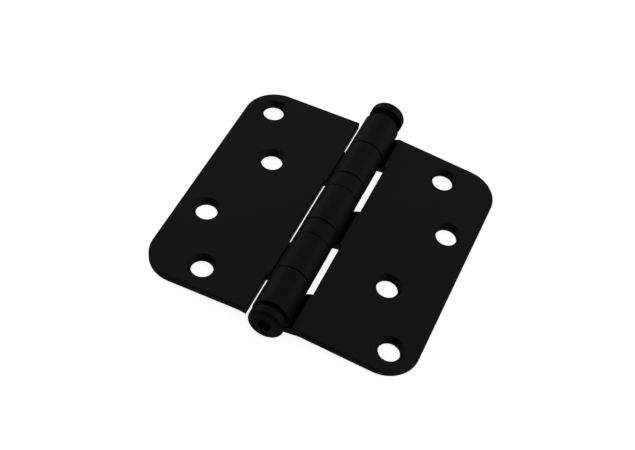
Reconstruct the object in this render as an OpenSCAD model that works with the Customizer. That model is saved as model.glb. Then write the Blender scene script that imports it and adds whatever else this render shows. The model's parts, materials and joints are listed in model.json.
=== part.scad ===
// Five-knuckle door butt hinge with two ball bearings and a loose pin, lying open on a flat surface.
// X runs across the leaves, Y along the pin towards its head, Z up. Millimetres.

/* [Leaves] */
// Height of each leaf, along the pin
leaf_h = 89; // [84:1:100]
// Width of each leaf, from the pin axis to its outer edge
leaf_w = 44.5; // [42:0.5:52]
// Thickness of the leaf plate
plate_t = 2.4; // [2.1:0.1:2.6]
// Radius of the two outer corners of a leaf
corner_r = 11; // [6:0.5:12]
// Gap between the two front faces when the hinge is closed
closed_gap = 2.8; // [2.4:0.1:3.2]
// Distance from the pin axis to the outer wall of the slots between the knuckles
slot_wall = 7.7; // [7.7:0.1:8.2]

/* [Screw holes] */
// Diameter of the straight part of a screw hole
hole_d = 6.9; // [5:0.1:7]
// Diameter of the countersink at the front face
sink_d = 9.5; // [8.4:0.1:10.4]
// Distance from the pin axis to the outer screw holes
hole_outer = 35.6; // [34:0.1:36.5]
// Distance from the pin axis to the inner screw holes
hole_inner = 26.5; // [22:0.1:28]
// Distance between the two end holes, along the leaf
hole_end_pitch = 71.8; // [66:0.2:73]
// Distance between the two middle holes, along the leaf
hole_mid_pitch = 29.3; // [26:0.1:32]

/* [Barrel] */
// Diameter of the hinge pin
pin_d = 7; // [6.6:0.1:7.2]
// Running clearance between the pin and its bore, on the diameter
pin_play = 0.1; // [0.06:0.02:0.16]
// Length of the middle knuckle
middle_knuckle = 15.6; // [13:0.1:16]
// Length of the second and fourth knuckles
inner_knuckle = 15.15; // [13:0.05:15.5]
// Gap between two knuckles that have no bearing between them
knuckle_gap = 0.25; // [0.2:0.05:0.4]

/* [Bearings] */
// Length of the space that a bearing fills between two knuckles
bearing_space = 6.75; // [6.5:0.05:7]
// Number of balls in a bearing
ball_count = 16; // [12:1:16]
// Diameter of a ball
ball_d = 1.6; // [1.4:0.1:1.6]
// Wall thickness of the bearing case
case_wall = 0.45; // [0.4:0.05:0.5]

/* [Pin ends] */
// Diameter of the button head on the pin
head_d = 11.6; // [11:0.1:11.8]
// Length of the button head
head_l = 3.8; // [3.4:0.1:4.4]
// Length of the neck under the pin head
head_neck_l = 3.3; // [1:0.1:4]
// Diameter of the button on the bottom plug
plug_d = 11.4; // [11:0.1:11.8]
// Length of the button on the bottom plug
plug_l = 3.2; // [3:0.1:4]
// Length of the neck above the plug button
plug_neck_l = 1.1; // [0.6:0.1:2]
// Length of the plug's stem inside the bottom knuckle
plug_stem_l = 3; // [2:0.1:5]
// Diameter of the drift hole through the plug
drift_d = 4; // [3:0.1:4.6]

/* [Hidden] */
$fn = 96;
eps = 0.01;
bore_r = (pin_d + pin_play) / 2;
// Rolling the plate into a knuckle thickens its wall a little.
roll_gain = 0.05;
barrel_r = bore_r + plate_t + roll_gain;
front = closed_gap / 2;
back = front + plate_t;
half_h = leaf_h / 2;

// The open hinge stands on the barrel and on the outer edges of both leaves.
tilt = asin(barrel_r / norm([leaf_w, back])) - atan(back / leaf_w);

// The origin lies under the middle of the whole length, from the plug's end to the pin head's end.
head_end = half_h + head_neck_l + head_l;
plug_end = half_h + plug_neck_l + plug_l;
mid_y = (head_end - plug_end) / 2;

// Ends of the knuckles, from the middle of the leaf outwards
middle_end = middle_knuckle / 2;
inner_start = middle_end + bearing_space;
inner_end = inner_start + inner_knuckle;
outer_start = inner_end + knuckle_gap;
right_fingers = [[outer_start, half_h], [-middle_end, middle_end], [-half_h, -outer_start]];
left_fingers = [[inner_start, inner_end], [-inner_end, -inner_start]];
right_slots = [[middle_end, outer_start], [-outer_start, -middle_end]];
left_slots = [[-inner_start, inner_start]];
slot_corner_r = 0.4;

// Screw holes as [distance from the pin axis, place along the leaf]
hole_places = [
    [hole_inner, hole_end_pitch / 2],
    [hole_outer, hole_mid_pitch / 2],
    [hole_inner, -hole_mid_pitch / 2],
    [hole_outer, -hole_end_pitch / 2]
];

// Where the plate leaves the barrel: a groove on the front, a shallow slope on the back
fold_u = 7.3;
fold_r = 1;
fold_end = 170;
step_u = 10;

// The web between barrel and plate starts inside the knuckle's wall, between these two angles.
web_angles = [-70, -24];
web_bite = 0.15;

// Slit where the rolled edge comes back to the plate
seam_w = 0.2;
seam_angle = -20;
seam_reach = barrel_r + 0.3;

// Bearing unit, measured from its lower face
end_play = 0.05;
unit_l = bearing_space - 2 * end_play;
case_l = unit_l - 0.2;
case_r = barrel_r - 0.05;
case_lip = 0.5;
case_lip_depth = 0.9;
case_edge_r = 0.3;
race_out_r = case_r - case_wall;
race_in_r = bore_r + 0.1;
track_r = (race_out_r + race_in_r) / 2;
ball_shows = 0.72;
race_space = ball_d * ball_shows;
track_y = case_lip + (unit_l - case_lip) / 2;
ball_play = 0.04;
race_play = 0.1;

// Pin and plug
neck_r = 4.3;
head_edge_r = 1.3;
plug_edge_r = 1.2;
rim_edge_r = 0.3;
pin_end_gap = 0.5;
pin_chamfer = 0.8;
drift_lead = 0.25;

function ball_name(unit, i) = str("bearing_", unit, "_ball_", i < 10 ? "0" : "", i);

// Moves a shape that is drawn about the pin axis to the axis' place in the part.
module on_pin_axis() {
    translate([0, -mid_y, barrel_r]) children();
}

// Extrudes an outline drawn in X and Z from y0 to y1.
module along_y(y0, y1) {
    translate([0, y1, 0]) rotate([90, 0, 0]) linear_extrude(y1 - y0) children();
}

// Turns an outline of [radius, y] points about the pin axis.
module turned(outline) {
    rotate([-90, 0, 0]) rotate_extrude() polygon(outline);
}

// Points of an arc about [cu, cv]
function arc(cu, cv, r, a0, a1, steps = 8) =
    [for (k = [0:steps]) let (a = a0 + (a1 - a0) * k / steps) [cu + r * cos(a), cv + r * sin(a)]];

// Plan of a leaf without its knuckles: square inner corners, round outer ones
module leaf_plan() {
    polygon(concat(
        [[slot_wall, half_h], [slot_wall, -half_h]],
        arc(leaf_w - corner_r, corner_r - half_h, corner_r, -90, 0, 24),
        arc(leaf_w - corner_r, half_h - corner_r, corner_r, 0, 90, 24)
    ));
}

// Root of the plate beside a slot, with a small radius at each end of the slot
module slot_root(slot) {
    r = slot_corner_r;
    for (end = [[slot[0], 1], [slot[1], -1]])
        polygon(concat(
            [[slot_wall + eps, end[0]], [slot_wall - r, end[0]]],
            [for (p = arc(0, 0, r, -90, 0, 6)) [slot_wall - r + p[0], end[0] + end[1] * (r + p[1])]],
            [[slot_wall + eps, end[0] + end[1] * r]]
        ));
}

// Point inside a knuckle's wall at an angle about the pin axis
function wall_point(angle) = (barrel_r - web_bite) * [cos(angle), sin(angle)];

// Section of a rolled knuckle and the web that joins it to the plate
module knuckle_section() {
    difference() {
        union() {
            circle(r = barrel_r);
            polygon(concat(
                [wall_point(web_angles[0]), [step_u, -back], [step_u, -front]],
                arc(fold_u, -front - fold_r, fold_r, 90, fold_end),
                [wall_point(web_angles[1])]
            ));
        }
        circle(r = bore_r);
        rotate(seam_angle) translate([0, -seam_w / 2]) square([seam_reach, seam_w]);
    }
}

// Straight hole with a 90 degree countersink in the front face
module screw_hole(place) {
    sink = (sink_d - hole_d) / 2;
    translate([place[0], place[1], -back - eps]) cylinder(d = hole_d, h = plate_t + 2 * eps);
    translate([place[0], place[1], -front - sink])
        cylinder(d1 = hole_d, d2 = sink_d + 2 * eps, h = sink + eps);
}

// A leaf about the pin axis, reaching towards +X
module leaf(fingers, slots) {
    difference() {
        union() {
            translate([0, 0, -back]) linear_extrude(plate_t) leaf_plan();
            for (finger = fingers) along_y(finger[0], finger[1]) knuckle_section();
            translate([0, 0, -back]) linear_extrude(plate_t) for (slot = slots) slot_root(slot);
        }
        for (place = hole_places) screw_hole(place);
    }
}

module right_leaf() {
    color("#1b1b1c") on_pin_axis() rotate([0, tilt, 0]) leaf(right_fingers, right_slots);
}

module left_leaf() {
    color("#1b1b1c") on_pin_axis() rotate([0, -tilt, 0]) rotate([0, 0, 180])
        leaf(left_fingers, left_slots);
}

// Pin with its button head; the neck's shoulder sits on the top knuckle.
module hinge_pin() {
    head_r = head_d / 2;
    pin_r = pin_d / 2;
    under_head = half_h + head_neck_l;
    pin_end = plug_stem_l + pin_end_gap - half_h;
    color("#19191a") on_pin_axis() turned(concat(
        [[0, pin_end], [pin_r - pin_chamfer, pin_end], [pin_r, pin_end + pin_chamfer]],
        [[pin_r, half_h], [neck_r, half_h], [neck_r, under_head]],
        arc(head_r - rim_edge_r, under_head + rim_edge_r, rim_edge_r, -90, 0, 4),
        arc(head_r - head_edge_r, head_end - head_edge_r, head_edge_r, 0, 90, 10),
        [[0, head_end]]
    ));
}

// Plug pressed into the bottom knuckle, with a hole for driving the pin out
module bottom_plug() {
    plug_r = plug_d / 2;
    button_top = -half_h - plug_neck_l;
    drift_r = drift_d / 2;
    color("#19191a") on_pin_axis() turned(concat(
        [[drift_r, plug_stem_l - half_h], [bore_r, plug_stem_l - half_h]],
        [[bore_r, -half_h], [neck_r, -half_h], [neck_r, button_top]],
        arc(plug_r - rim_edge_r, button_top - rim_edge_r, rim_edge_r, 90, 0, 4),
        arc(plug_r - plug_edge_r, plug_edge_r - plug_end, plug_edge_r, 0, -90, 10),
        [[drift_r + drift_lead, -plug_end], [drift_r, drift_lead - plug_end]]
    ));
}

// Places a bearing unit on its lower neighbour; unit 1 is the one nearer the pin head.
module in_bearing(unit) {
    on_pin_axis() translate([0, (unit == 1 ? middle_end : -inner_start) + end_play, 0]) children();
}

// Thin case that holds the lower race on a lip and covers the balls
module bearing_case(unit) {
    color("#202021") in_bearing(unit) turned(concat(
        [[race_out_r - case_lip_depth, 0]],
        arc(case_r - case_edge_r, case_edge_r, case_edge_r, -90, 0, 4),
        arc(case_r - case_edge_r / 2, case_l - case_edge_r / 2, case_edge_r / 2, 0, 90, 4),
        [[race_out_r, case_l], [race_out_r, case_lip], [race_out_r - case_lip_depth, case_lip]]
    ));
}

// A race from y0 to y1, with the ball track cut into the face that looks at the balls
module race(unit, outer_r, y0, y1) {
    color("#a5a8ab") in_bearing(unit) difference() {
        turned([[race_in_r, y0], [outer_r, y0], [outer_r, y1], [race_in_r, y1]]);
        rotate([-90, 0, 0]) rotate_extrude() translate([track_r, track_y])
            circle(r = ball_d / 2 + ball_play);
    }
}

module lower_race(unit) {
    race(unit, race_out_r, case_lip, track_y - race_space / 2);
}

module upper_race(unit) {
    race(unit, race_out_r - race_play, track_y + race_space / 2, unit_l);
}

module bearing_ball(unit, i) {
    color("#c4c7ca") in_bearing(unit) rotate([0, 360 * (i - 0.5) / ball_count, 0])
        translate([track_r, track_y, 0]) sphere(d = ball_d, $fn = 24);
}

right_leaf();
left_leaf();
hinge_pin();
bottom_plug();
for (unit = [1:2]) {
    bearing_case(unit);
    upper_race(unit);
    lower_race(unit);
    for (i = [1:ball_count])
        bearing_ball(unit, i);
}
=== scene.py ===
import json
from math import acos, atan2, ceil, cos, degrees, hypot, pi, radians, sin

import bmesh
import bpy
from mathutils import Matrix, Vector
from mathutils.geometry import delaunay_2d_cdt


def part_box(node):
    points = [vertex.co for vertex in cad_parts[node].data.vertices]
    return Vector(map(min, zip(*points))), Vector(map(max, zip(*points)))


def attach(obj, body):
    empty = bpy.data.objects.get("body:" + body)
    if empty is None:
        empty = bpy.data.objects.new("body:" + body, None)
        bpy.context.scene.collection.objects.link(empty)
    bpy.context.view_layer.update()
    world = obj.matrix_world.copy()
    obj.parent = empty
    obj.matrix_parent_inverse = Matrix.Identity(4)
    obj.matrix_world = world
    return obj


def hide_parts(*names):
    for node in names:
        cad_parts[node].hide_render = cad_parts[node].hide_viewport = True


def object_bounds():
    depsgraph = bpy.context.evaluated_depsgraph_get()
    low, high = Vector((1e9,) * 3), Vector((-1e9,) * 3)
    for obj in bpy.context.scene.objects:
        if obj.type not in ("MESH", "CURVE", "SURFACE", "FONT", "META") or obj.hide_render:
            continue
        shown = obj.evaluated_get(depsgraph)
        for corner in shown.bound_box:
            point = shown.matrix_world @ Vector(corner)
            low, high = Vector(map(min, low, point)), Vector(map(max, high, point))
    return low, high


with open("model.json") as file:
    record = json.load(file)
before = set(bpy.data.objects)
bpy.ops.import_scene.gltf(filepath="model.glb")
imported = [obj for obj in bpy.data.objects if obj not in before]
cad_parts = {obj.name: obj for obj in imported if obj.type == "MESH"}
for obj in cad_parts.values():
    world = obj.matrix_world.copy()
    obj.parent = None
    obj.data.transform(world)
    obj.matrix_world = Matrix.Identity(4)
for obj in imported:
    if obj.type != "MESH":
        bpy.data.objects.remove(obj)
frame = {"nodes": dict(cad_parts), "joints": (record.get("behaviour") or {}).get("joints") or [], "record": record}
cad_low, cad_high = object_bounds()
MM = 0.001

# ---------------------------------------------------------------- places taken from the frame

mounts = {mount["name"]: mount for mount in frame["record"]["mounts"]}
pin_axis = Vector(frame["joints"][0]["pos_m"]) / MM
barrel_r = pin_axis.z
leaf_low, leaf_high = [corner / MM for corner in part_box("right_leaf")]
middle_y = (leaf_low.y + leaf_high.y) / 2
half_h = (leaf_high.y - leaf_low.y) / 2
screw_axis = Vector(mounts["right_screw_1"]["axis"])
tilt = atan2(screw_axis.x, screw_axis.z)
back_w = (Vector(mounts["right_leaf_back"]["pos_m"]) / MM - pin_axis).dot(screw_axis)

# A leaf's own frame: u away from the pin, y along it from the leaf's middle, w up from the pin axis
on_pin_axis = Matrix.Translation((0, middle_y, barrel_r))
LEAF_PLACES = {
    "right_leaf": on_pin_axis @ Matrix.Rotation(tilt, 4, "Y"),
    "left_leaf": on_pin_axis @ Matrix.Rotation(-tilt, 4, "Y") @ Matrix.Rotation(pi, 4, "Z"),
}


def finger_ends(leaf):
    """Where a leaf's knuckles start and end along the pin, from the CAD barrel's own edges."""
    to_leaf = LEAF_PLACES[leaf].inverted()
    points = [to_leaf @ (v.co / MM) for v in frame["nodes"][leaf].data.vertices]
    ends = sorted({round(p.y, 2) for p in points if p.z > barrel_r / 2})
    return list(zip(ends[0::2], ends[1::2]))


def screw_places(leaf):
    """Places of a leaf's screw holes, as (distance from the pin, place along it)."""
    to_leaf = LEAF_PLACES[leaf].inverted()
    side = leaf.split("_")[0]
    spots = [to_leaf @ (Vector(mounts[f"{side}_screw_{i}"]["pos_m"]) / MM) for i in range(1, 5)]
    return [(spot.x, spot.y) for spot in spots]


# ---------------------------------------------------------------- sizes of the leaves

PLATE_T = 2.4
FRONT_W = back_w + PLATE_T
BORE_R = 3.55
LEAF_W = 44.5
CORNER_R = 11
SLOT_WALL = 7.7
SLOT_CORNER_R = 0.4
HOLE_R = mounts["right_screw_1"]["dims"]["r_mm"]
SINK_R = 4.75

# Groove between plate and barrel: a small fold in the front face, then a slope down to the barrel
FLAT_END = SLOT_WALL - SLOT_CORNER_R
FOLD_R = 0.5
FOLD_END = 122
GROOVE_ANGLE = -24.7

# Seam where the rolled edge comes back to the plate, as angles about the pin
SEAM_ANGLE = -20
SEAM_HALF = 1.6

# The back face starts to slope towards the barrel here, with a blend on either side.
STEP_U = 10
STEP_BLEND = 0.8
STEP_LINES = [STEP_U + STEP_BLEND * k / 2 for k in (2, 1, 0, -1, -2)]

# Rounding of the sheet's edges, with a guard line beside each to keep the flat faces flat
FRONT_EDGE_R = 0.3
BACK_EDGE_R = 0.2
EDGE_STEPS = 4
GUARD = 0.06
RIM_R = 0.12

# Fineness of arcs
SLOT_CORNER_STEPS = 5
LEAF_CORNER_STEPS = 32
FOLD_STEPS = 6
HOLE_STEPS = 72
BORE_STEP_DEG = 4
BARREL_STEP_DEG = 3

# ---------------------------------------------------------------- sizes of the turned pieces

HEAD_R = 5.8
HEAD_L = 3.8
HEAD_NECK_L = 3.3
HEAD_EDGE_R = 1.3
PLUG_R = 5.7
PLUG_L = 3.2
PLUG_NECK_L = 1.1
PLUG_STEM_L = 3
PLUG_EDGE_R = 1.2
STEM_EDGE_R = 0.2
RIM_EDGE_R = 0.3
NECK_R = 4.3
NECK_EDGE_R = 0.15
NECK_FILLET = 0.25
DRIFT_R = mounts["drift_hole"]["dims"]["r_mm"]
DRIFT_LEAD = 0.25
PIN_R = 3.5
PIN_END_GAP = 0.5
PIN_CHAMFER = 0.8
PIN_TIP_R = 0.1
CASE_WALL = 0.45
CASE_LIP = 0.5
CASE_LIP_DEPTH = 0.9
CASE_TOP_R = 0.15
TURN_STEPS = 144
TURN_GUARD = 0.15

# ---------------------------------------------------------------- outlines and meshes


def arc(cu, cv, r, start, end, steps):
    """Points of an arc from one angle to another, in degrees."""
    angles = [radians(start + (end - start) * k / steps) for k in range(steps + 1)]
    return [(cu + r * cos(a), cv + r * sin(a)) for a in angles]


def quarter(r):
    """Rounded edge as (distance in from the edge, depth below the face), from the face to the wall."""
    angles = [pi / 2 * k / EDGE_STEPS for k in range(EDGE_STEPS + 1)]
    return [(r * (1 - sin(a)), r * (1 - cos(a))) for a in angles]


def left_normals(points):
    """Mitred normals on the left of an open line of points."""
    sides = []
    for a, b in zip(points, points[1:]):
        length = hypot(b[0] - a[0], b[1] - a[1])
        sides.append(Vector(((a[1] - b[1]) / length, (b[0] - a[0]) / length)))
    normals = []
    for before, after in zip(sides[:1] + sides, sides + sides[-1:]):
        normal = (before + after).normalized()
        normals.append(normal / max(0.5, normal.dot(before)))
    return normals


def inside(point, loop):
    """Whether a point of the plane is inside a closed loop."""
    found = False
    for k, a in enumerate(loop):
        b = loop[k - 1]
        if (a.y > point.y) != (b.y > point.y):
            if point.x < (b.x - a.x) * (point.y - a.y) / (b.y - a.y) + a.x:
                found = not found
    return found


class Shell:
    """A mesh that is put together vertex by vertex and face by face."""

    SHARP_ANGLE = 35
    WELD = 1e-7

    def __init__(self):
        self.bm = bmesh.new()

    def point(self, x, y, z):
        return self.bm.verts.new((x * MM, y * MM, z * MM))

    def face(self, corners):
        used = list(dict.fromkeys(corners))
        if len(used) > 2:
            self.bm.faces.new(used)

    def strip(self, first, second):
        """Quads between two rows of points of the same length."""
        for k in range(len(first) - 1):
            self.face((first[k], first[k + 1], second[k + 1], second[k]))

    def fill(self, loops, flat, lines=()):
        """Fills the first loop, less the others, with triangles that keep to the lines.
        flat maps a vertex to the plane."""
        verts = []
        edges = []
        outlines = []
        for loop in loops:
            first = len(verts)
            verts += loop
            edges += [(first + k, first + (k + 1) % len(loop)) for k in range(len(loop))]
            outlines.append([flat(v) for v in loop])
        for line in lines:
            first = len(verts)
            verts += line
            edges += [(first + k, first + k + 1) for k in range(len(line) - 1)]
        plane = [flat(v) for v in verts]
        outer, *holes = outlines
        for corners in delaunay_2d_cdt(plane, edges, [], 0, 1e-9)[2]:
            middle = sum((plane[k] for k in corners), Vector((0, 0))) / len(corners)
            if inside(middle, outer) and not any(inside(middle, hole) for hole in holes):
                self.face([verts[k] for k in corners])

    def finish(self, name, material, body, replaced, place=None):
        """Makes the piece: welded, facing outwards, smooth but for its sharp edges."""
        bmesh.ops.remove_doubles(self.bm, verts=self.bm.verts, dist=self.WELD)
        bmesh.ops.recalc_face_normals(self.bm, faces=self.bm.faces)
        if place:
            scaled = place.copy()
            scaled.translation *= MM
            bmesh.ops.transform(self.bm, matrix=scaled, verts=self.bm.verts)
        for face in self.bm.faces:
            face.smooth = True
        for edge in self.bm.edges:
            edge.smooth = edge.calc_face_angle(0) < radians(self.SHARP_ANGLE)
        mesh = bpy.data.meshes.new(name)
        self.bm.to_mesh(mesh)
        self.bm.free()
        piece = bpy.data.objects.new(name, mesh)
        bpy.context.scene.collection.objects.link(piece)
        mesh.materials.append(MATERIALS[material])
        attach(piece, body)
        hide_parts(*replaced)


# ---------------------------------------------------------------- materials

# Black coat: base colour, its darkest cloud as a share of it, and the colours of a thin edge
COAT_TONE = (0.0034, 0.0035, 0.0036)
COAT_CLOUD = 0.82
EDGE_TONES = ((0.0036, 0.0036, 0.0037), (0.006, 0.0059, 0.0058))
PEEL_DEPTH = 0.000006

# Sheen of the flat plates and of everything round, and where one gives way to the other (metres)
PLATE_SHEEN = 0.36
ROUND_SHEEN = 0.25
ROUND_END = 0.0058
PLATE_START = 0.0068


def blank_material(name):
    material = bpy.data.materials.new(name)
    material.use_nodes = True
    nodes = material.node_tree.nodes
    return material, nodes, material.node_tree.links, nodes["Principled BSDF"]


def noise(nodes, links, scale, detail=3, roughness=0.5):
    """Noise in the object's own space; scale is in features to the metre."""
    place = nodes.new("ShaderNodeTexCoord")
    texture = nodes.new("ShaderNodeTexNoise")
    texture.inputs["Scale"].default_value = scale
    texture.inputs["Detail"].default_value = detail
    texture.inputs["Roughness"].default_value = roughness
    links.new(place.outputs["Object"], texture.inputs["Vector"])
    return texture.outputs["Fac"]


def ramp(nodes, links, source, stops):
    """Colour ramp over a value; stops are (place, grey or colour)."""
    node = nodes.new("ShaderNodeValToRGB")
    for element, (at, value) in zip(node.color_ramp.elements, stops):
        element.position = at
        element.color = (*value, 1) if isinstance(value, tuple) else (value, value, value, 1)
    links.new(source, node.inputs["Fac"])
    return node.outputs["Color"]


def mixed(nodes, links, factor, first, second):
    node = nodes.new("ShaderNodeMix")
    node.data_type = "RGBA"
    links.new(factor, node.inputs["Factor"])
    links.new(first, node.inputs["A"])
    links.new(second, node.inputs["B"])
    return node.outputs["Result"]


def arithmetic(nodes, links, operation, *sources):
    node = nodes.new("ShaderNodeMath")
    node.operation = operation
    for k, source in enumerate(sources):
        links.new(source, node.inputs[k])
    return node.outputs["Value"]


def map_range(nodes, links, source, from_low, from_high, to_low, to_high):
    """Maps a value from one range to another and keeps it inside."""
    node = nodes.new("ShaderNodeMapRange")
    node.inputs["From Min"].default_value = from_low
    node.inputs["From Max"].default_value = from_high
    node.inputs["To Min"].default_value = to_low
    node.inputs["To Max"].default_value = to_high
    links.new(source, node.inputs["Value"])
    return node


def bumped(nodes, links, shader, layers):
    """Stacks bump layers of (height source, depth in metres)."""
    normal = None
    for height, depth in layers:
        node = nodes.new("ShaderNodeBump")
        node.inputs["Strength"].default_value = 1
        node.inputs["Distance"].default_value = depth
        links.new(height, node.inputs["Height"])
        if normal:
            links.new(normal, node.inputs["Normal"])
        normal = node.outputs["Normal"]
    links.new(normal, shader.inputs["Normal"])


def thin_edges(nodes, links):
    """How far a spot is on an outside edge, broken up by noise."""
    geometry = nodes.new("ShaderNodeNewGeometry")
    edge = ramp(nodes, links, geometry.outputs["Pointiness"], [(0.53, 0), (0.6, 1)])
    patches = ramp(nodes, links, noise(nodes, links, 700, 5, 0.6), [(0.42, 0.1), (0.62, 1)])
    return arithmetic(nodes, links, "MULTIPLY", edge, patches)


def plate_sheen(nodes, links):
    """Sheen that is stronger on the flat plates than on the rolled barrel."""
    place = nodes.new("ShaderNodeTexCoord")
    split = nodes.new("ShaderNodeSeparateXYZ")
    links.new(place.outputs["Object"], split.inputs["Vector"])
    across = arithmetic(nodes, links, "ABSOLUTE", split.outputs["X"])
    reach = map_range(nodes, links, across, ROUND_END, PLATE_START, ROUND_SHEEN, PLATE_SHEEN)
    return reach.outputs["Result"]


def black_coat(name, gloss, grain, rolled=False):
    """Thin satin black coat on steel: fine grain, cloudy sheen, thinner and paler on its edges."""
    material, nodes, links, shader = blank_material(name)
    cloud = noise(nodes, links, 160, 4, 0.55)
    speck = noise(nodes, links, 5200, 2)
    dark = tuple(COAT_CLOUD * t for t in COAT_TONE)
    coat = ramp(nodes, links, cloud, [(0.3, dark), (0.7, COAT_TONE)])
    edge = ramp(nodes, links, speck, [(0.35, EDGE_TONES[0]), (0.7, EDGE_TONES[1])])
    colour = mixed(nodes, links, thin_edges(nodes, links), coat, edge)
    links.new(colour, shader.inputs["Base Color"])
    roughness = ramp(nodes, links, cloud, [(0.25, gloss + 0.05), (0.75, gloss - 0.04)])
    links.new(roughness, shader.inputs["Roughness"])
    if rolled:
        links.new(plate_sheen(nodes, links), shader.inputs["Specular IOR Level"])
    else:
        shader.inputs["Specular IOR Level"].default_value = ROUND_SHEEN
    peel = noise(nodes, links, 1500, 2)
    bumped(nodes, links, shader, [(peel, PEEL_DEPTH), (speck, grain)])
    return material


def bright_steel(name, tone, gloss):
    """Ground and polished steel of the bearing's inside."""
    material, nodes, links, shader = blank_material(name)
    film = noise(nodes, links, 900, 4, 0.6)
    fine = noise(nodes, links, 9000, 2)
    dark = tuple(0.8 * t for t in tone)
    links.new(ramp(nodes, links, film, [(0.3, dark), (0.7, tone)]), shader.inputs["Base Color"])
    shader.inputs["Metallic"].default_value = 1
    roughness = ramp(nodes, links, film, [(0.3, gloss + 0.08), (0.7, gloss)])
    links.new(roughness, shader.inputs["Roughness"])
    bumped(nodes, links, shader, [(fine, 0.000001)])
    return material


def pale_floor():
    """White paper sweep that glows a little, so that it stays even."""
    material, nodes, links, shader = blank_material("pale_floor")
    tone = ramp(nodes, links, noise(nodes, links, 14, 3), [(0.3, 0.9), (0.7, 0.93)])
    links.new(tone, shader.inputs["Base Color"])
    shader.inputs["Roughness"].default_value = 0.8
    shader.inputs["Specular IOR Level"].default_value = 0.1
    shader.inputs["Emission Color"].default_value = (1, 1, 1, 1)
    shader.inputs["Emission Strength"].default_value = 0.9
    return material


MATERIALS = {
    "leaf_black": black_coat("leaf_black", 0.4, 0.0000035, rolled=True),
    "tip_black": black_coat("tip_black", 0.4, 0.000002),
    "case_black": black_coat("case_black", 0.42, 0.0000025),
    "race_steel": bright_steel("race_steel", (0.26, 0.265, 0.27), 0.3),
    "ball_steel": bright_steel("ball_steel", (0.78, 0.79, 0.8), 0.08),
}

# ---------------------------------------------------------------- leaves

# Where the back face's slope touches the barrel, as an angle about the pin, and how steep it is
back_meet = atan2(back_w, STEP_U) - acos(barrel_r / hypot(STEP_U, back_w))
back_slope = (back_w - barrel_r * sin(back_meet)) / (STEP_U - barrel_r * cos(back_meet))

FRONT_RINGS = [(FRONT_EDGE_R + GUARD, 0)] + quarter(FRONT_EDGE_R)
BACK_RINGS = list(reversed([(BACK_EDGE_R + GUARD, 0)] + quarter(BACK_EDGE_R)))


def back_depth(u):
    """Thickness of the sheet at a distance from the pin: it swells towards the barrel."""
    run = STEP_U - u
    if run <= -STEP_BLEND:
        return PLATE_T
    if run < STEP_BLEND:
        return PLATE_T + back_slope * (run + STEP_BLEND) ** 2 / (4 * STEP_BLEND)
    return PLATE_T + back_slope * run


def slot_corner(end, centre, start):
    """Corner of a slot at a finger's end, turning clockwise from an angle."""
    return arc(FLAT_END, end + centre * SLOT_CORNER_R, SLOT_CORNER_R, start, start - 90, SLOT_CORNER_STEPS)


def leaf_outline(fingers):
    """Outline of the flat plate, broken at each finger: the stretch round the outside, then the slots.
    Each stretch starts at one finger's end and stops at the next finger's end."""
    centre_u, centre_y = LEAF_W - CORNER_R, half_h - CORNER_R
    outside = [(u, -half_h) for u in reversed(STEP_LINES)]
    outside += arc(centre_u, -centre_y, CORNER_R, -90, 0, LEAF_CORNER_STEPS)
    outside += arc(centre_u, centre_y, CORNER_R, 0, 90, LEAF_CORNER_STEPS)
    outside += [(u, half_h) for u in STEP_LINES]
    bottom, top = fingers[0][0], fingers[-1][1]
    if bottom > 1 - half_h:
        outside = slot_corner(bottom, -1, 90) + [(SLOT_WALL, -half_h)] + outside
        outside += [(SLOT_WALL, half_h)] + slot_corner(top, 1, 0)
    else:
        outside = [(FLAT_END, -half_h)] + outside + [(FLAT_END, half_h)]
    slots = [
        slot_corner(upper[0], -1, 90) + slot_corner(lower[1], 1, 0)
        for lower, upper in zip(fingers, fingers[1:])
    ]
    return [outside] + list(reversed(slots))


def knuckle_lines():
    """The rolled sheet's two faces in section, from the plate round to the seam: (front, back)."""
    lip, tip = SEAM_ANGLE - SEAM_HALF, SEAM_ANGLE + SEAM_HALF - 360
    foot = radians(GROOVE_ANGLE)
    front = arc(FLAT_END, FRONT_W - FOLD_R, FOLD_R, 90, FOLD_END, FOLD_STEPS)
    front.append((barrel_r * cos(foot), barrel_r * sin(foot)))
    front += arc(0, 0, BORE_R, lip, tip, ceil((lip - tip) / BORE_STEP_DEG))
    start = degrees(back_meet)
    back = [(FLAT_END, FRONT_W - back_depth(FLAT_END))]
    back += arc(0, 0, barrel_r, start, tip, ceil((start - tip) / BARREL_STEP_DEG))
    return front, back


def plate_column(shell, point, normal):
    """Vertices down the plate's wall at a point of its outline, front rings first."""
    column = []
    for inset, depth in FRONT_RINGS:
        u, y = point[0] + normal.x * inset, point[1] + normal.y * inset
        column.append(shell.point(u, y, FRONT_W - depth))
    for inset, depth in BACK_RINGS:
        u, y = point[0] + normal.x * inset, point[1] + normal.y * inset
        column.append(shell.point(u, y, FRONT_W - back_depth(u) + depth))
    return column


def screw_hole(shell, u, y):
    """Countersunk hole with a soft rim; returns its first and last rings of vertices."""
    profile = [(SINK_R + RIM_R + GUARD, 0), (SINK_R + RIM_R, 0), (SINK_R + RIM_R * 0.3, RIM_R * 0.12)]
    profile += [(SINK_R - RIM_R * 0.4, RIM_R * 0.5), (SINK_R - RIM_R, RIM_R), (HOLE_R, SINK_R - HOLE_R)]
    profile += [(HOLE_R + inset, PLATE_T - depth) for inset, depth in BACK_RINGS]
    rings = []
    for r, depth in profile:
        angles = [2 * pi * k / HOLE_STEPS for k in range(HOLE_STEPS)]
        rings.append([shell.point(u + r * cos(a), y + r * sin(a), FRONT_W - depth) for a in angles])
    for a, b in zip(rings, rings[1:]):
        shell.strip(a + a[:1], b + b[:1])
    return rings[0], rings[-1]


def plan(vertex):
    return Vector((vertex.co.x / MM, vertex.co.y / MM))


def section(vertex):
    return Vector((vertex.co.x / MM, vertex.co.z / MM))


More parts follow.
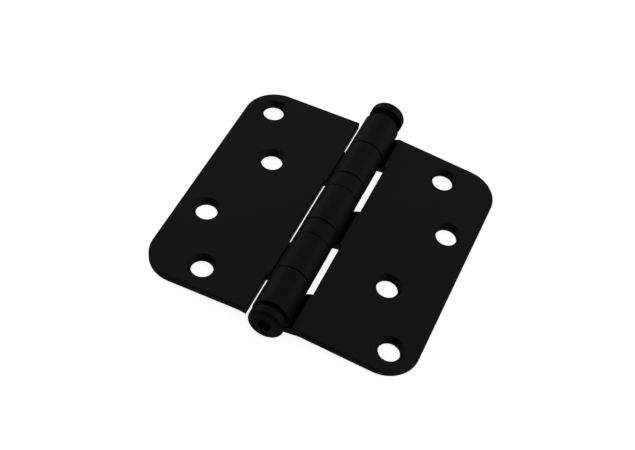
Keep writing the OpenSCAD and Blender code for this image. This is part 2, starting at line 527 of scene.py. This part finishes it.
def step_creases(loop):
    """Lines across the back face, along the start of its slope."""
    lines = []
    for u in STEP_LINES:
        at = sorted((v for v in loop if abs(v.co.x / MM - u) < 0.02), key=lambda v: v.co.y)
        lines.append([at[0], at[-1]])
    return lines


def knuckle(shell, low, high, roots):
    """A rolled knuckle between two places along the pin; roots are the plate's wall columns there."""
    front, back = knuckle_lines()
    front_in = left_normals(front)
    back_in = [-normal for normal in left_normals(back)]
    fronts = len(FRONT_RINGS)
    flanks = []
    for edge, inwards in ((low, 1), (high, -1)):
        rows = []
        for rings, line, normals in ((FRONT_RINGS, front, front_in), (BACK_RINGS, back, back_in)):
            for inset, depth in rings:
                row = [
                    shell.point(p[0] + n.x * depth, edge + inwards * inset, p[1] + n.y * depth)
                    for p, n in zip(line[1:], normals[1:])
                ]
                rows.append([roots[round(edge, 2)][len(rows)]] + row)
        for side in (rows[:fronts], rows[fronts:]):
            for a, b in zip(side, side[1:]):
                shell.strip(a, b)
        shell.fill([rows[fronts - 1] + list(reversed(rows[fronts]))], section)
        flanks.append(rows)
    shell.strip(flanks[0][0], flanks[1][0])
    shell.strip(flanks[0][-1], flanks[1][-1])
    shell.face([row[-1] for row in flanks[0]] + [row[-1] for row in reversed(flanks[1])])


def build_leaf(leaf, body):
    """A leaf as one closed sheet: plate walls, screw holes, two faces, then the rolled knuckles."""
    shell = Shell()
    fingers = finger_ends(leaf)
    roots = {}
    front_loop, back_loop = [], []
    for stretch in leaf_outline(fingers):
        columns = [plate_column(shell, p, n) for p, n in zip(stretch, left_normals(stretch))]
        for a, b in zip(columns, columns[1:]):
            shell.strip(a, b)
        roots[round(stretch[0][1], 2)] = columns[0]
        roots[round(stretch[-1][1], 2)] = columns[-1]
        front_loop += [column[0] for column in columns]
        back_loop += [column[-1] for column in columns]
    front_rings, back_rings = zip(*[screw_hole(shell, u, y) for u, y in screw_places(leaf)])
    shell.fill([front_loop, *front_rings], plan)
    shell.fill([back_loop, *back_rings], plan, step_creases(back_loop))
    for low, high in fingers:
        knuckle(shell, low, high, roots)
    shell.finish(leaf + "_sheet", "leaf_black", body, [leaf], LEAF_PLACES[leaf])


# ---------------------------------------------------------------- turned pieces


def guarded(outline):
    """Adds a point near both ends of each long straight stretch, to keep shading and wear at the edges."""
    points = []
    for a, b in zip(outline, outline[1:] + outline[:1]):
        points.append(a)
        length = hypot(b[0] - a[0], b[1] - a[1])
        if length > 4 * TURN_GUARD and (a[0] or b[0]):
            for share in (TURN_GUARD / length, 1 - TURN_GUARD / length):
                points.append((a[0] + (b[0] - a[0]) * share, a[1] + (b[1] - a[1]) * share))
    return points


def turned(name, outline, material, body, replaced):
    """Turns an outline of (radius, place along the pin from the leaf's middle) about the pin axis."""
    shell = Shell()
    rows = []
    angles = [2 * pi * k / TURN_STEPS for k in range(TURN_STEPS)]
    for r, y in guarded(outline):
        if r == 0:
            rows.append([shell.point(0, middle_y + y, barrel_r)] * TURN_STEPS)
        else:
            rows.append([shell.point(r * cos(a), middle_y + y, barrel_r + r * sin(a)) for a in angles])
    if outline[0][0]:
        rows.append(rows[0])
    for a, b in zip(rows, rows[1:]):
        shell.strip(a + a[:1], b + b[:1])
    shell.finish(name, material, body, replaced)


def build_pin():
    """Pin with a neck and a button head; its lower end is chamfered."""
    under = half_h + HEAD_NECK_L
    top = under + HEAD_L
    end = PLUG_STEM_L + PIN_END_GAP - half_h
    tip_r = PIN_R - PIN_CHAMFER - PIN_TIP_R
    outline = [(0, end)] + arc(tip_r, end + PIN_TIP_R, PIN_TIP_R, -90, -45, 2)
    outline += [(PIN_R, end + PIN_CHAMFER), (PIN_R, half_h)]
    outline += arc(NECK_R - NECK_EDGE_R, half_h + NECK_EDGE_R, NECK_EDGE_R, -90, 0, 3)
    outline += arc(NECK_R + NECK_FILLET, under - NECK_FILLET, NECK_FILLET, 180, 90, 4)
    outline += arc(HEAD_R - RIM_EDGE_R, under + RIM_EDGE_R, RIM_EDGE_R, -90, 0, 6)
    outline += arc(HEAD_R - HEAD_EDGE_R, top - HEAD_EDGE_R, HEAD_EDGE_R, 0, 90, 14)
    outline += [(0, top)]
    turned("turned_pin", outline, "tip_black", "pin", ["hinge_pin"])


def build_plug():
    """Plug with a round button, a neck, a stem in the knuckle and a drift hole."""
    top = -half_h - PLUG_NECK_L
    end = top - PLUG_L
    stem = PLUG_STEM_L - half_h
    outline = [(DRIFT_R, stem)]
    outline += arc(BORE_R - STEM_EDGE_R, stem - STEM_EDGE_R, STEM_EDGE_R, 90, 0, 3)
    outline += [(BORE_R, -half_h)]
    outline += arc(NECK_R - NECK_EDGE_R, -half_h - NECK_EDGE_R, NECK_EDGE_R, 90, 0, 3)
    outline += arc(NECK_R + NECK_FILLET, top + NECK_FILLET, NECK_FILLET, 180, 270, 4)
    outline += arc(PLUG_R - RIM_EDGE_R, top - RIM_EDGE_R, RIM_EDGE_R, 90, 0, 6)
    outline += arc(PLUG_R - PLUG_EDGE_R, end + PLUG_EDGE_R, PLUG_EDGE_R, 0, -90, 14)
    outline += arc(DRIFT_R + DRIFT_LEAD, end + DRIFT_LEAD, DRIFT_LEAD, -90, -180, 5)
    turned("turned_plug", outline, "tip_black", "fixed_leaf", ["bottom_plug"])


def build_case(unit, body, foot_r):
    """Thin case of a bearing, standing on its lip; foot_r rounds the edge beside the lip."""
    name = f"bearing_{unit}_case"
    low, high = [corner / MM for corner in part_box(name)]
    foot, mouth, outer = low.y - middle_y, high.y - middle_y, high.x
    inner = outer - CASE_WALL
    outline = [(inner - CASE_LIP_DEPTH, foot)]
    outline += arc(outer - foot_r, foot + foot_r, foot_r, -90, 0, 8)
    outline += arc(outer - CASE_TOP_R, mouth - CASE_TOP_R, CASE_TOP_R, 0, 90, 5)
    outline += [(inner, mouth), (inner, foot + CASE_LIP), (inner - CASE_LIP_DEPTH, foot + CASE_LIP)]
    turned(f"turned_case_{unit}", outline, "case_black", body, [name])


# ---------------------------------------------------------------- floor, light and camera

FLOOR_HALF = 3
FLOOR_DROP = 0.00002

SOFTBOX_AWAY = 1.3
SOFTBOX_SIDE = 0.9

# Surround: its strength, that below the horizon, and that in front where the room is dark
WORLD_LEVEL = 0.22
WORLD_BELOW = 0.09
WORLD_FRONT = 0.02

CAMERA_AZIMUTH = radians(13.897)
CAMERA_ELEVATION = radians(49.066)
CAMERA_ROLL = radians(12.651)
CAMERA_AIM = Vector((-0.00169, -0.00714, 0.006))
CAMERA_AWAY = 0.40881
CAMERA_LENS = 74.48
CAMERA_SENSOR = 36


def add_softbox(name, direction, power):
    """Square soft light that looks at the hinge from a direction."""
    light = bpy.data.lights.new(name, "AREA")
    light.shape = "RECTANGLE"
    light.size = light.size_y = SOFTBOX_SIDE
    light.energy = power
    lamp = bpy.data.objects.new(name, light)
    lamp.location = direction.normalized() * SOFTBOX_AWAY
    lamp.rotation_euler = (-direction).to_track_quat("-Z", "Y").to_euler()
    bpy.context.scene.collection.objects.link(lamp)


def add_floor():
    """Plain pale floor, just under the hinge. The black faces don't mirror it."""
    bm = bmesh.new()
    bmesh.ops.create_grid(bm, x_segments=12, y_segments=12, size=FLOOR_HALF)
    mesh = bpy.data.meshes.new("floor")
    bm.to_mesh(mesh)
    bm.free()
    floor = bpy.data.objects.new("floor", mesh)
    floor.location.z = cad_low.z - FLOOR_DROP
    floor.visible_glossy = False
    mesh.materials.append(pale_floor())
    bpy.context.scene.collection.objects.link(floor)


def add_world():
    """Even grey surround, darker below the horizon and in front."""
    world = bpy.data.worlds.new("studio")
    world.use_nodes = True
    nodes, links = world.node_tree.nodes, world.node_tree.links
    place = nodes.new("ShaderNodeTexCoord")
    split = nodes.new("ShaderNodeSeparateXYZ")
    links.new(place.outputs["Generated"], split.inputs["Vector"])
    front = map_range(nodes, links, split.outputs["Y"], -0.6, -0.2, WORLD_FRONT, WORLD_LEVEL)
    level = map_range(nodes, links, split.outputs["Z"], -0.15, 0.1, WORLD_BELOW, WORLD_LEVEL)
    links.new(front.outputs["Result"], level.inputs["To Max"])
    links.new(level.outputs["Result"], nodes["Background"].inputs["Strength"])
    nodes["Background"].inputs["Color"].default_value = (1, 1, 1, 1)
    bpy.context.scene.world = world


def add_camera():
    """Camera seen from the plug's end, a little to the right and from above."""
    level = cos(CAMERA_ELEVATION)
    back = Vector((sin(CAMERA_AZIMUTH) * level, -cos(CAMERA_AZIMUTH) * level, sin(CAMERA_ELEVATION)))
    looking = (-back).to_track_quat("-Z", "Y").to_matrix()
    rolled = Matrix.Rotation(CAMERA_ROLL, 3, back) @ looking
    data = bpy.data.cameras.new("camera")
    data.lens = CAMERA_LENS
    data.sensor_width = CAMERA_SENSOR
    camera = bpy.data.objects.new("camera", data)
    camera.rotation_mode = "QUATERNION"
    camera.rotation_quaternion = rolled.to_quaternion()
    camera.location = CAMERA_AIM + back * CAMERA_AWAY
    bpy.context.scene.collection.objects.link(camera)
    bpy.context.scene.camera = camera


# ---------------------------------------------------------------- the scene

build_leaf("right_leaf", "fixed_leaf")
build_leaf("left_leaf", "swinging_leaf")
build_pin()
build_plug()
build_case(1, "fixed_leaf", foot_r=0.5)
build_case(2, "swinging_leaf", foot_r=0.3)

# The balls and the races keep their CAD shapes.
for name, node in frame["nodes"].items():
    if "ball" in name or "race" in name:
        node.data.materials.clear()
        node.data.materials.append(MATERIALS["ball_steel" if "ball" in name else "race_steel"])

add_floor()
add_camera()
add_softbox("left_softbox", Vector((-1.0, 0.5, 0.4)), 0.25)
add_softbox("right_softbox", Vector((1.0, 0.5, 0.5)), 0.3)
add_world()
bpy.context.scene.view_settings.view_transform = "Standard"
